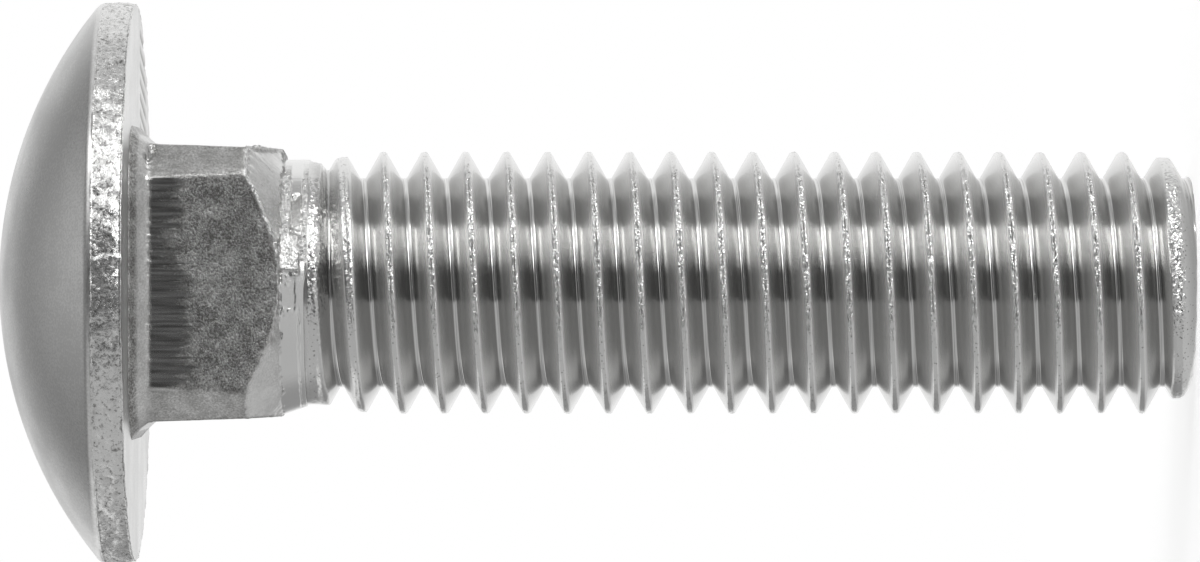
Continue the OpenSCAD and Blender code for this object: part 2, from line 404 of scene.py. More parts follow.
def rolled_thread_steel(finish):
    """Stainless steel rolled between dies: burnished flanks, and the wire's skin on the crests."""
    material, tree, shader, place, across, skin, gape, raw = new_steel(
        "stainless_steel_rolled", "across", "skin", "gape", "raw"
    )
    # Rolled steel scatters light across its streaks, up and down the bolt, and hardly round it.
    ring = add(tree, "Tangent", direction_type="RADIAL", axis="Z")
    streaked = add(tree, "MapRange", [skin, 0.0, 1.0, 0.9, 0.0])
    feed(tree, shader, {"Tangent": ring, "Anisotropic": streaked, "Anisotropic Rotation": 0.25})
    apart = add(tree, "Math", [across], operation="ABSOLUTE")
    # Streaks run along the groove: they change fast across it, and slowly with the place.
    slow = add(tree, "VectorMath", {0: place, "Scale": 0.25 / MM}, operation="SCALE")
    fast = add(tree, "Math", [across, 14 / MM], operation="MULTIPLY")
    fast = add(tree, "CombineXYZ", {"X": fast})
    along = add(tree, "VectorMath", [slow, fast], operation="ADD")
    streak = add(tree, "TexNoise", {"Vector": along, "Scale": 1.0, "Detail": 3.0})
    pebble = add(tree, "TexNoise", {"Vector": place, "Scale": 9 / MM, "Detail": 3.0, "Roughness": 0.6})
    # The fissure wanders along the crest between two crumbled lips, where the rollers met last.
    ragged = add(tree, "TexNoise", {"Vector": place, "Scale": 8 / MM, "Detail": 3.0, "Roughness": 0.7})
    ragged = add(tree, "Math", [ragged, 0.5], operation="SUBTRACT")
    wander = add(tree, "Math", [ragged, 0.3 * MM, across], operation="MULTIPLY_ADD")
    wander = add(tree, "Math", [wander], operation="ABSOLUTE")
    crack = add(tree, "MapRange", [wander, 0.015 * MM, 0.045 * MM, 1.0, 0.0])
    gate = add(tree, "TexNoise", {"Vector": place, "Scale": 2.6 / MM})
    gate = add(tree, "MapRange", [gate, 0.4, 0.55, 0.1, 0.8])
    for opened in (gape, gate):
        crack = add(tree, "Math", [crack, opened], operation="MULTIPLY")
    lips = add(tree, "MapRange", [apart, 0.12 * MM, 0.2 * MM, 1.0, 0.0])
    lips = add(tree, "Math", [lips, gape], operation="MULTIPLY")
    lips = add(tree, "Math", [lips, raw], operation="MAXIMUM")
    pitted = add(tree, "TexVoronoi", {"Vector": place, "Scale": 5 / MM}).outputs[0]
    pitted = add(tree, "MapRange", [pitted, 0.12, 0.25, 0.8, 0.1])
    pitted = add(tree, "Math", [pitted, skin], operation="MULTIPLY")
    # Painted shade: the flanks are greyed more and more down into the groove, and hardly at the root itself.
    groove_shade = add(tree, "MapRange", [apart, 0.2 * MM, 0.72 * MM, 0.06, 0.46])
    shade_fades_at_root = add(tree, "MapRange", [apart, 0.86 * MM, 0.93 * MM, 1.0, 0.16])
    groove_shade = add(tree, "Math", [groove_shade, shade_fades_at_root], operation="MULTIPLY")
    # Fine dark lines run along the root, where the rollers' noses wear.
    nose = add(tree, "MapRange", [apart, 0.84 * MM, 0.9 * MM])
    lines = add(tree, "MapRange", [streak, 0.45, 0.58, 0.0, 0.55])
    lines = add(tree, "Math", [lines, nose], operation="MULTIPLY")
    # The fissure is painted dark as well: painted shade in the crack.
    dark = crack
    # Besides the fissure, the pits, the painted shade in the groove and the root lines darken the steel.
    for marked in (pitted, groove_shade, lines):
        dark = add(tree, "Math", [dark, marked], operation="MAXIMUM")
    # The rollers press hardest near the root, so the flanks are dull towards the crest.
    dull = add(tree, "MapRange", [apart, 0.15 * MM, 0.75 * MM, finish.flank_roughness + 0.13,
                                  finish.flank_roughness + 0.02])
    polished = add(tree, "MapRange", [apart, 0.8 * MM, 0.87 * MM, 1.0, 0.5])
    dull = add(tree, "Math", [dull, polished], operation="MULTIPLY")
    rough = add(tree, "MapRange", [skin, 0.0, 1.0, dull, 0.12])
    deep = add(tree, "MapRange", [apart, 0.65 * MM, 0.85 * MM, 0.08, 0.12])
    flank = add(tree, "Bump", {"Height": streak, "Distance": 0.025 * MM, "Strength": deep})
    worn = add(tree, "Math", [lips, 0.25, 0.25], operation="MULTIPLY_ADD")
    worn = add(tree, "Math", [worn, skin], operation="MULTIPLY")
    bump = add(tree, "Bump", {"Height": pebble, "Distance": 0.04 * MM, "Strength": worn, "Normal": flank})
    split = add(tree, "Math", [crack, -1.0], operation="MULTIPLY")
    bump = add(tree, "Bump", {"Height": split, "Distance": 0.03 * MM, "Strength": 1.0, "Normal": bump})
    bump = add(tree, "Bump", {"Height": ragged, "Distance": 0.03 * MM, "Strength": lips, "Normal": bump})
    # Metal that no roller touched is torn into steeper facets than the lips are.
    torn = add(tree, "MapRange", [raw, 0.0, 1.0, 0.72, 0.95])
    torn = add(tree, "Math", [lips, torn], operation="MULTIPLY")
    turned = facets(tree, place, 0.09 * MM, torn, bump)
    coat(tree, shader, finish, dark, rough, turned)
    return material


def stretch(start, end, spacing):
    """Points of a straight stretch of outline, without its end."""
    count = max(1, math.ceil(math.dist(start, end) / spacing))
    return np.linspace(start, end, count, endpoint=False)


def head_outline(sizes):
    """The head's half outline, from inside the neck out under the head and up over the dome."""
    radius, low = sizes.diameter / 2, BEARING_Z
    rim_top, edge_z = low + sizes.rim_height, low + sizes.rim_height + sizes.bevel_height
    edge_r = radius - sizes.bevel_width
    rise = HEAD_TOP - edge_z
    dome_r = (edge_r**2 + rise**2) / (2 * rise)
    slopes = np.linspace(math.asin(edge_r / dome_r), 0.0, 36, endpoint=False)
    dome = np.stack([dome_r * np.sin(slopes), HEAD_TOP - dome_r * (1 - np.cos(slopes))], axis=-1)
    # The bevel is a shallow round from the rim to the dome.
    bevel = stretch((radius, rim_top), (edge_r, edge_z), 0.04 * MM)
    along = np.linspace(0.0, 1.0, len(bevel), endpoint=False)
    square_to_it = (0.88, 0.48)
    bevel = bevel + np.outer(sizes.bevel_round * 4 * along * (1 - along), square_to_it)
    return np.concatenate([
        stretch((0.5 * radius, low), (radius - sizes.foot, low), 0.11 * MM),
        stretch((radius - sizes.foot, low), (radius, low + sizes.foot), 0.06 * MM),
        stretch((radius, low + sizes.foot), (radius, rim_top - 0.1 * MM), 0.08 * MM),
        stretch((radius, rim_top - 0.1 * MM), (radius, rim_top), 0.025 * MM),
        bevel,
        dome,
    ])


def tool_marks(points, sizes):
    """Short curved scores under one side of the head, side by side, from 0 to 1."""
    x, y = points[..., 0] / MM, points[..., 1] / MM
    spacing = sizes.mark_spacing / MM
    # Each mark drifts towards the axis as it runs back, so the row of them looks combed.
    lane = (x + 0.18 * (y - 3.0) - 7.5) / spacing
    centred = np.abs(lane - np.round(lane)) * spacing
    inside = span(lane, -0.4, -0.2, 6.4, 6.6)
    return ramp(-centred, -0.26, -0.08) * inside * span(y, 2.6, 3.6, 7.5, 9.6)


class AddHead(bpy.types.Operator):
    """Add the domed head with its forged rim and the scored face under it"""

    bl_idname = "bolt.add_head"
    bl_label = "Add Head"

    def execute(self, context):
        sizes = context.scene.bolt_head
        finish = context.scene.bolt_steel
        outline = head_outline(sizes)
        run = np.gradient(outline, axis=0)
        run /= np.linalg.norm(run, axis=1, keepdims=True)
        out_r, out_z = run[:, 1:2], -run[:, 0:1]
        radius, height = outline[:, 0:1], outline[:, 1:2]
        angles = np.linspace(-math.pi, math.pi, COLUMNS, endpoint=False)[None, :]
        places = around(radius, angles, height)

        low, rim_top = BEARING_Z, BEARING_Z + sizes.rim_height
        is_rim = ramp(radius, sizes.diameter / 2 - 0.3 * MM, sizes.diameter / 2 - 0.1 * MM)
        on_rim = is_rim * ramp(-height, -rim_top - 0.12 * MM, -rim_top + 0.05 * MM)
        under = ramp(-height, -low - 0.02 * MM, -low)
        coarse = grain(places, sizes.pit_size, 1)
        fine = grain(places, sizes.pit_size / 2, 2)
        worn = 0.5 + 0.5 * np.sin(angles - FRONT + 1.2)
        pit = ramp(coarse + 0.7 * fine - 0.12 * worn, 0.05, 0.5) * on_rim
        wave = grain(places, 2.5 * MM, 4)
        blotch = grain(places, 0.6 * MM, 5)
        # One fold crosses the rim just above the middle, from its bevel to its foot.
        fold_at = FRONT + math.radians(4.9) + 0.006 * np.sin(height / (0.25 * MM))
        fold = ramp(-np.abs(angles - fold_at) * sizes.diameter / 2, -0.09 * MM, -0.01 * MM) * on_rim
        marks = tool_marks(places, sizes) * under
        lines = 0.003 * MM * np.sin(radius / (0.06 * MM)) * under
        # The dies meet at the rim's upper edge and squeeze out a fine bead of metal.
        bead = ridge(height, rim_top, 0.035 * MM) * (0.7 + 0.5 * fine + 0.4 * wave)
        # The rim was squeezed out between the dies, so it is a little barrelled, most at its foot.
        middle = low + sizes.rim_height / 2
        edges = np.minimum((2 * (height - middle) / sizes.rim_height) ** 2, 1.0)
        edges = edges * np.where(height > middle, 0.1, 1.0)
        barrelled = edges * ramp(-height, -low - sizes.rim_height - sizes.bevel_height,
                                 -low - sizes.rim_height) * is_rim * np.maximum(out_r, 0.0)
        out = (
            -sizes.pit_depth * pit
            - sizes.barrel * barrelled
            + 0.02 * MM * fine * on_rim
            + 0.06 * MM * blotch * on_rim
            + 0.03 * MM * wave * is_rim
            + 0.05 * MM * fold
            + 0.03 * MM * bead
            - sizes.mark_depth * marks
            + lines
        )
        rings = around(radius + out_r * out, angles, height + out_z * out)
        mesh = closed_skin("head", rings, BEARING_Z + 1.0 * MM, HEAD_TOP)
        paint(mesh, "pit", np.clip(pit + marks, 0.0, 1.0))
        pressed, forged = pressed_dome_steel(finish), forged_skin_steel(finish)
        finish_piece(mesh, "bolt_head", [pressed, forged])
        faces = np.zeros(len(mesh.polygons), np.int32)
        faces[: (len(outline) - 1) * COLUMNS] = np.repeat(on_rim[:-1, 0] > 0.5, COLUMNS)
        mesh.polygons.foreach_set("material_index", faces)
        return {"FINISHED"}


class AddNeck(bpy.types.Operator):
    """Add the square neck with its flare, its drawn flats and the torn flash at its foot"""

    bl_idname = "bolt.add_neck"
    bl_label = "Add Neck"

    def execute(self, context):
        sizes = context.scene.bolt_neck
        finish = context.scene.bolt_steel
        angles = np.linspace(-math.pi, math.pi, COLUMNS, endpoint=False)[None, :]
        lead = np.degrees((angles - FRONT + math.pi) % (2 * math.pi) - math.pi)
        slope = math.tan(sizes.cone_angle)
        flats_end = BEARING_Z - NECK_H
        end_half = (sizes.width - sizes.taper) / 2
        foot_z = flats_end - (end_half - sizes.collar) / slope
        flare_z = BEARING_Z - sizes.flare_height

        # Rows rise from the crack under the flash to just inside the head.
        ring_z = THREAD_TOP + 0.6 * MM
        crack_z = ring_z - 0.45 * MM - 0.14 * MM * span(lead, -4, 8, 110, 170)
        top_z = BEARING_Z + 0.2 * MM
        low_rows = np.linspace(0.0, 1.0, 54, endpoint=False)[:, None]
        high_rows = np.linspace(0.0, 1.0, 66)[:, None]
        mid_z = flats_end + 0.4 * MM
        low_part = crack_z + (mid_z - crack_z) * low_rows
        high_part = np.repeat(mid_z + (top_z - mid_z) * high_rows, COLUMNS, axis=1)
        height = np.concatenate([low_part, high_part])
        around_place = around(sizes.corner, angles, height)
        rag = grain(around_place, 0.5 * MM, sizes.seed)
        fray = grain(around_place, 0.16 * MM, sizes.seed + 1)
        slow = grain(around_place, 1.6 * MM, sizes.seed + 2)

        # The square bar, its rounded corners and the cone that ends it
        half = end_half + sizes.taper / 2 * (height - foot_z) / (flare_z - foot_z)
        flare = sizes.flare_width * np.clip((height - flare_z) / sizes.flare_height, 0, 1) ** 1.4
        from_flat = (angles + math.pi / 4) % (math.pi / 2) - math.pi / 4
        flat = (half + flare) / np.cos(from_flat)
        cone = sizes.collar + slope * (height - foot_z)
        square = soft_least(flat, sizes.corner + 0.9 * flare, 0.07 * MM + 0.6 * flare)
        burr = ridge(height, flare_z, 0.05 * MM) * (0.6 + 0.8 * fray)
        square = square + 0.05 * MM * burr
        beside = ridge(cone, square, 0.45 * MM)
        frayed_cone = cone + (0.09 * MM * rag + 0.04 * MM * fray) * beside
        body = soft_least(square, frayed_cone, 0.04 * MM)

        # Flash: below a ragged lip the cone is buried in a strip of metal smeared round the foot.
        lip_z = flats_end - 0.05 * MM + 0.16 * MM * rag + 0.08 * MM * fray
        in_strip = ramp(lip_z - height, -0.03 * MM, 0.03 * MM)
        rise = (height - ring_z) / MM
        level, ripped, sunk = foot_flash(lead, rise, rag, fray)
        smear = 0.34 * np.maximum(rise + 0.5, 0.0) * ramp(-lead, -34, 0)
        strip = sizes.collar + (0.05 + smear + level) * MM
        body = body + (strip - body) * in_strip

        # A fold left a pocket with a burr round it at the flare's upper front corner.
        fold_z = flare_z + (0.02 - 0.03 * (lead - 47)) * MM
        off = np.hypot((lead - 47) / 4.5, (height - fold_z) / (0.2 * MM)) + 0.55 * fray + 0.3 * rag
        body = body - 0.22 * MM * ramp(-off, -1.0, -0.6)
        body = body + 0.06 * MM * np.clip(0.6 + fray, 0, 1.4) * ridge(off, 1.3, 0.25)

        # Torn lips stand along the end of each flat and along the top of the strip.
        past_flat = frayed_cone - square
        flat_lip = ridge(past_flat, -0.06 * MM, 0.13 * MM) * (1 - in_strip)
        strip_lip = ridge(height, lip_z - 0.08 * MM, 0.1 * MM)
        split = ridge(past_flat, -0.2 * MM, 0.05 * MM) * (1 - in_strip)
        tear = np.clip(0.6 + 0.9 * slow + 0.6 * rag, 0.05, 1.5) * np.clip(0.8 + 0.7 * fray, 0, 1.5)
        # In front the metal tore above the middle, and ran out smoothly below it.
        behind = ramp(np.abs(lead), 98, 112)
        flat_tear = 0.12 + 0.9 * span(lead, -8, 4, 58, 72) + 0.6 * behind
        strip_tear = 0.8 * span(lead, 17, 24, 50, 60)
        strip_tear = strip_tear + ramp(slow, -0.1, 0.3) * behind
        raised = sizes.lip * tear * np.maximum(flat_lip * flat_tear, strip_lip * strip_tear)
        raised = raised - 0.06 * MM * split * flat_tear
        body = body + raised

        # The flats are dull and mottled, and drawn smooth in lines near the head.
        line = grain(around_place * (1, 1, 0.02), 0.09 * MM, sizes.seed + 3)
        drawn_from = flare_z - 1.5 * MM + 0.5 * MM * slow - 0.9 * MM * line
        drawn_from = drawn_from - 0.7 * MM * ramp(-lead, -20, 20)
        on_flat = ramp(past_flat + 0.08 * MM * fray, -0.06 * MM, 0.04 * MM)
        mid_flat = ramp(sizes.corner - flat, -0.3 * MM, 0.1 * MM)
        drawn = ramp(height + 0.3 * MM * fray, drawn_from, drawn_from + 1.2 * MM) * mid_flat
        drawn = drawn * ramp(flare_z - height, -0.05 * MM, 0.05 * MM)
        on_cone = (1 - on_flat) * (1 - in_strip) * ramp(height, foot_z, flats_end)
        on_flare = ramp(height, flare_z - 0.05 * MM, flare_z + 0.05 * MM)
        dull = (1 - drawn) * (1 - 0.7 * on_cone) * (1 - in_strip) * (1 - 0.5 * on_flare)
        body = body + 0.014 * MM * fray * dull + 0.012 * MM * rag * dull
        edge = ridge(flat, sizes.corner, 0.05 * MM) * ramp(lead, 0, 20)
        edge = edge * ramp(fray + slow, 0.0, 0.5) * ramp(flare_z - height, 1.5 * MM, 3.0 * MM)
        torn = np.clip(raised / (0.06 * MM) + ripped * in_strip + 0.6 * edge, 0.0, 1.0)
        on_corner = (1 - mid_flat) * on_flat * (1 - on_flare)
        burnished = (0.7 + 0.3 * slow) * on_cone + 0.3 * on_corner
        # Within about 0.3 mm of the head the flare gets no burnish and stays darker: painted shade where the
        # flare meets the head.
        burnished = burnished + 0.5 * on_flare * ramp(BEARING_Z - height, 0.28 * MM, 0.42 * MM)
        burnished = burnished + (1 - 0.6 * sunk) * in_strip
        burnished = np.clip(burnished, 0.0, 1.0) * (1 - 0.8 * torn)

        rings = around(body, angles, height)
        tuck_low = around(sizes.collar - 0.35 * MM, angles, height[:1] + 0.02 * MM)
        tuck_high = around(0.6 * sizes.corner, angles, height[-1:] + 0.05 * MM)
        rings = np.concatenate([tuck_low, rings, tuck_high])
        mesh = closed_skin("neck", rings, flats_end, BEARING_Z + 1.0 * MM)
        ends = np.zeros((1, COLUMNS))
        for name, values in (("torn", torn), ("drawn", drawn), ("burnished", burnished)):
            paint(mesh, name, np.concatenate([ends, values, ends]))
        finish_piece(mesh, "bolt_neck", [neck_steel(finish)])
        return {"FINISHED"}


def foot_flash(lead, rise, rag, fray):
    """The flash smeared round the foot: how far it stands out in millimetres, where it is torn,
    and where it is sunk or scraped.
    """
    angle = lead + 3 * rag + 2 * fray
    level = rise + 0.05 * rag + 0.03 * fray
    behind = ramp(np.abs(lead), 98, 112)
    # Seen from the front, from low to high: a long plate, a groove, a scraped patch and a slot.
    along_plate = span(angle, -84, -80, -14, -11)
    long_plate = along_plate * ramp(rise, -0.3, -0.22)
    groove = span(angle, -14, -10, -1, 3) * ramp(level, -0.1, 0.0)
    patch = span(angle, 2, 6, 22, 26) * ramp(level, -0.3, -0.2)
    slot = span(angle, 20, 28, 43, 47) * span(level, -0.3, -0.24, 0.16, 0.26)
    beside = span(angle, 18, 24, 48, 80)
    beside = beside * (ramp(level, 0.16, 0.24) + 0.7 * ramp(-level, 0.3, 0.36))
    pit = span(angle, 8, 12, 18, 24) * ramp(-level, 0.14, 0.24)
    scrape = 0.012 * np.sin(angle * 3.5 + 4 * rag) * patch
    stands = 0.03 * long_plate - 0.015 * groove + 0.08 * patch + scrape
    stands = stands + 0.06 * beside * (1 + fray) - (0.03 + 0.42 * (rise + 0.27)) * slot
    stands = stands - (0.04 + 0.1 * fray) * pit + 0.07 * rag * behind
    stands = stands - 0.06 * ridge(rise + 0.05 * rag, -0.21, 0.035) * along_plate
    ripped = np.maximum(np.maximum(pit, 0.9 * beside), 0.2 * patch)
    return stands, ripped, np.maximum(slot, patch)


def thread_tree(sizes):
    """Geometry nodes for a rolled thread: a sheet wound round the axis along the helix."""
    tree = bpy.data.node_groups.new("Rolled thread", "GeometryNodeTree")
    tree.interface.new_socket("Geometry", in_out="OUTPUT", socket_type="NodeSocketGeometry")
    inputs = [(entry.name, "NodeSocketFloat") for entry in own_settings(sizes)]
    inputs += [(name, "NodeSocketInt") for name in ("Steps", "Rows a Turn", "Turns")]
    for name, kind in inputs + [("Steel", "NodeSocketMaterial")]:
        tree.interface.new_socket(name, in_out="INPUT", socket_type=kind)
    given = add(tree, "NodeGroupInput").outputs

    # The sheet: steps round the axis, and rows up the groove, closer at each crest and root
    columns = add(tree, "Math", [given["Steps"], 1.0], operation="ADD")
    rows = add(tree, "Math", [given["Rows a Turn"], given["Turns"], 1.0], operation="MULTIPLY_ADD")
    sheet = add(tree, "GeometryNodeMeshGrid", {"Vertices X": columns, "Vertices Y": rows})
    index = add(tree, "GeometryNodeInputIndex")
    column = add(tree, "Math", [index, rows], operation="DIVIDE")
    column = add(tree, "Math", [column], operation="FLOOR")
    row = add(tree, "Math", [index, rows], operation="MODULO")
    turned = add(tree, "Math", [column, given["Steps"]], operation="DIVIDE")
    even = add(tree, "Math", [row, given["Rows a Turn"]], operation="DIVIDE")
    bunch = add(tree, "Math", [even, 4 * math.pi], operation="MULTIPLY")
    bunch = add(tree, "Math", [bunch], operation="SINE")
    phase = add(tree, "Math", [bunch, -0.6 / (4 * math.pi), even], operation="MULTIPLY_ADD")
    climbed = add(tree, "Math", [phase, turned], operation="ADD")
    climbed = add(tree, "Math", [climbed, SPARE_TURNS], operation="SUBTRACT")
    height = add(tree, "Math", [climbed, given["Pitch"]], operation="MULTIPLY")
    angle = add(tree, "Math", [turned, 2 * math.pi, given["Start angle"]], operation="MULTIPLY_ADD")

    # Distance from the middle of the nearest crest, measured along the bolt
    nearest = add(tree, "Math", [phase], operation="ROUND")
    across = add(tree, "Math", [phase, nearest], operation="SUBTRACT")
    across = add(tree, "Math", [across, given["Pitch"]], operation="MULTIPLY")
    apart = add(tree, "Math", [across], operation="ABSOLUTE")

    # A rough place on the surface, for the noises to read
    guess = add(tree, "CombineXYZ", {"X": given["Blank radius"], "Z": height})
    guess = add(tree, "VectorRotate", {"Vector": guess, "Angle": angle}, rotation_type="Z_AXIS")
    lumps = add(tree, "TexNoise", {"Vector": guess, "Scale": 4.5 / MM, "Detail": 2.0})
    waves = add(tree, "TexNoise", {"Vector": guess, "Scale": 0.9 / MM, "Detail": 1.0})
    lumps, waves = [add(tree, "Math", [grey, 0.5], operation="SUBTRACT") for grey in (lumps, waves)]

    # The collar, the blank, and the crest and root that fade into them
    fade = add(tree, "Math", [given["Run-out"], given["Pitch"]], operation="MULTIPLY")
    full = add(tree, "Math", [given["Thread top"], fade], operation="SUBTRACT")
    base = add(tree, "Math", [given["Thread top"], 0.4 * MM], operation="SUBTRACT")
    base = add(tree, "MapRange", [height, base, given["Thread top"], given["Blank radius"],
                                  given["Collar radius"]])
    crest = add(tree, "MapRange", [height, full, given["Thread top"], given["Crest radius"], base])
    crest_height = add(tree, "Math", [height, across], operation="SUBTRACT")
    slope = add(tree, "Math", [given["Point angle"]], operation="TANGENT")
    tapered = add(tree, "Math", [crest_height, slope, given["Bevel radius"]], operation="MULTIPLY_ADD")
    crest = add(tree, "Math", [crest, tapered], operation="MINIMUM")
    late = add(tree, "Math", [given["Thread top"], 0.5 * MM], operation="SUBTRACT")
    early = add(tree, "Math", [late, 0.55 * MM], operation="SUBTRACT")
    dent = add(tree, "MapRange", [height, early, late, 1.0, 0.0])
    groove = add(tree, "MapRange", [dent, 0.0, 1.0, base, given["Root radius"]])
    # The crest is flat for a fifteenth of the pitch to each side, and each flank leans 30 degrees.
    flat = add(tree, "Math", [given["Pitch"], 1 / 15], operation="MULTIPLY")
    down = add(tree, "Math", [apart, flat], operation="SUBTRACT")
    flank = add(tree, "Math", [down, -math.sqrt(3.0), given["Crest radius"]], operation="MULTIPLY_ADD")
    body = add(tree, "Math", [flank, groove, 0.05 * MM], operation="SMOOTH_MAX")
    body = add(tree, "Math", [body, crest, 0.08 * MM], operation="SMOOTH_MIN")

    # Above the last crest there is no groove: the collar begins along the helix.
    last = add(tree, "Math", [given["Turns"], 1.0], operation="SUBTRACT")
    beyond = add(tree, "Math", [phase, last], operation="GREATER_THAN")
    plain = add(tree, "Math", [beyond, given["Collar radius"]], operation="MULTIPLY")
    body = add(tree, "Math", [body, plain], operation="MAXIMUM")

    # The blank's bevelled end stays inside two slopes: the edge of the end face, and the point.
    above = add(tree, "Math", [height, 0.0], operation="MAXIMUM")
    edge = add(tree, "MapRange", [above, 0.0, given["Bevel height"], given["End radius"],
                                  given["Bevel radius"]], clamp=False)
    over = add(tree, "Math", [above, given["Bevel height"]], operation="SUBTRACT")
    slope = add(tree, "Math", [given["Trim angle"]], operation="TANGENT")
    point = add(tree, "Math", [over, slope, given["Bevel radius"]], operation="MULTIPLY_ADD")
    point = add(tree, "Math", [point, edge, 0.1 * MM], operation="SMOOTH_MIN")
    trimmed = add(tree, "Math", [body, point, 0.05 * MM], operation="SMOOTH_MIN")

    # Skin: what neither flank nor root was rolled on still has the surface of the wire.
    cut = add(tree, "Math", [flank, trimmed], operation="SUBTRACT")
    cut = add(tree, "MapRange", [cut, 0.01 * MM, 0.05 * MM, 0.0, 1.0])
    unformed = add(tree, "MapRange", [dent, 0.6, 1.0, 1.0, 0.0])
    collar = add(tree, "Math", [1.0, beyond], operation="SUBTRACT")
    edge_z = add(tree, "Math", [waves, 0.3 * MM, height], operation="MULTIPLY_ADD")
    rough_top = add(tree, "Math", [given["Thread top"], 0.08 * MM], operation="SUBTRACT")
    bare = add(tree, "MapRange", [edge_z, rough_top, given["Thread top"], 1.0, 0.0])
    unformed = add(tree, "Math", [unformed, bare], operation="MULTIPLY")
    for kept in (collar, bare):
        cut = add(tree, "Math", [cut, kept], operation="MULTIPLY")
    # Where the point is narrow the crest stays blunt, until the trimmed slope cuts it.
    blunt = add(tree, "Math", [given["Crest radius"], tapered], operation="SUBTRACT")
    blunt = add(tree, "MapRange", [blunt, 0.2 * MM, 0.4 * MM])
    untrimmed = add(tree, "Math", [crest, trimmed], operation="SUBTRACT")
    untrimmed = add(tree, "MapRange", [untrimmed, 0.1 * MM, 0.2 * MM, 1.0, 0.0])
    for kept in (cut, untrimmed):
        blunt = add(tree, "Math", [blunt, kept], operation="MULTIPLY")
    raw = unformed
    for kept in (collar, 0.5):
        raw = add(tree, "Math", [raw, kept], operation="MULTIPLY")
    raw = add(tree, "Math", [raw, blunt], operation="MAXIMUM")
    skin = add(tree, "Math", [cut, raw], operation="MAXIMUM")
    rough = add(tree, "Math", [lumps, skin], operation="MULTIPLY")

    # Seam: rolling pushes two lips of metal up to the crest, and a ragged fissure stays open.
    facing = add(tree, "Math", [angle, given["Seam side"]], operation="SUBTRACT")
    facing = add(tree, "Math", [facing, 2.0], operation="MULTIPLY")
    facing = add(tree, "Math", [facing], operation="COSINE")
    gape = add(tree, "MapRange", [facing, -0.1, 0.4])
    gape = add(tree, "Math", [gape, collar], operation="MULTIPLY")
    rougher = add(tree, "MapRange", [gape, 0.0, 1.0, 0.3, 1.0])
    raw = add(tree, "Math", [raw, rougher], operation="MULTIPLY")
    wander = across
    for noisy in (waves, lumps):
        wander = add(tree, "Math", [noisy, given["Seam width"], wander], operation="MULTIPLY_ADD")
    wander = add(tree, "Math", [wander], operation="ABSOLUTE")
    seam = add(tree, "MapRange", [wander, 0.0, given["Seam width"], 1.0, 0.0],
               interpolation_type="SMOOTHSTEP")
    broken = add(tree, "MapRange", [lumps, -0.1, 0.1])
    seam = add(tree, "Math", [seam, broken], operation="MULTIPLY")
    uncut = add(tree, "Math", [body, trimmed], operation="SUBTRACT")
    uncut = add(tree, "MapRange", [uncut, 0.02 * MM, 0.2 * MM, 1.0, 0.0])
    clear = add(tree, "Math", [1.0, blunt], operation="SUBTRACT")
    # The seam heals in the middle of the run-out, where the crest is no longer pressed up.
    formed = add(tree, "MapRange", [height, full, given["Thread top"], 1.4, -0.6])
    formed = add(tree, "Clamp", [formed])
    for kept in (uncut, clear, formed):
        gape = add(tree, "Math", [gape, kept], operation="MULTIPLY")
    seam = add(tree, "Math", [seam, gape], operation="MULTIPLY")
    shaped = add(tree, "Math", [rough, 0.1 * MM, trimmed], operation="MULTIPLY_ADD")
    sunk = add(tree, "Math", [seam, given["Seam depth"]], operation="MULTIPLY")
    shaped = add(tree, "Math", [shaped, sunk], operation="SUBTRACT")

    # Below the end face and above the collar the sheet closes on the axis.
    roof = add(tree, "Math", [given["Thread top"], 0.3 * MM], operation="ADD")
    to_roof = add(tree, "Math", [roof, height], operation="SUBTRACT")
    closing = 1.0
    for inside in (height, to_roof):
        inside = add(tree, "Math", [inside, given["Pitch"]], operation="DIVIDE")
        inside = add(tree, "Math", [inside, 1.0], operation="ADD", use_clamp=True)
        closing = add(tree, "Math", [closing, inside], operation="MULTIPLY")
    radius = add(tree, "Math", [shaped, closing], operation="MULTIPLY")
    level = add(tree, "Math", [above, roof], operation="MINIMUM")
    place = add(tree, "CombineXYZ", {"X": radius, "Z": level})
    place = add(tree, "VectorRotate", {"Vector": place, "Angle": angle}, rotation_type="Z_AXIS")

    shape = sheet.outputs["Mesh"]
    for name, value in (("across", across), ("skin", skin), ("gape", gape), ("raw", raw)):
        shape = add(tree, "GeometryNodeStoreNamedAttribute", {"Geometry": shape, "Name": name,
                    "Value": value}, data_type="FLOAT", domain="POINT")
    shape = add(tree, "GeometryNodeSetPosition", {"Geometry": shape, "Position": place})
    shape = add(tree, "GeometryNodeMergeByDistance", {"Geometry": shape, "Distance": 0.002 * MM})
    shape = add(tree, "GeometryNodeSetShadeSmooth", {"Geometry": shape})
    shape = add(tree, "GeometryNodeRealizeInstances", {"Geometry": shape})
    shape = add(tree, "GeometryNodeSetMaterial", {"Geometry": shape, "Material": given["Steel"]})
    add(tree, "NodeGroupOutput", {"Geometry": shape})
    return tree


def grown(tree, name, values):
    """The plain mesh that a geometry tree makes from its named inputs."""
    holder = bpy.data.objects.new(name, bpy.data.meshes.new(name))
    bpy.context.scene.collection.objects.link(holder)
    modifier = holder.modifiers.new(tree.name, "NODES")
    modifier.node_group = tree
    for item in tree.interface.items_tree:
        if item.in_out == "INPUT":
            modifier[item.identifier] = values[item.name]
    graph = bpy.context.evaluated_depsgraph_get()
    mesh = bpy.data.meshes.new_from_object(
        holder.evaluated_get(graph), preserve_all_data_layers=True, depsgraph=graph
    )
    bpy.data.objects.remove(holder)
    if not mesh.polygons:
        raise RuntimeError(f"the tree {tree.name} made no faces")
    return mesh


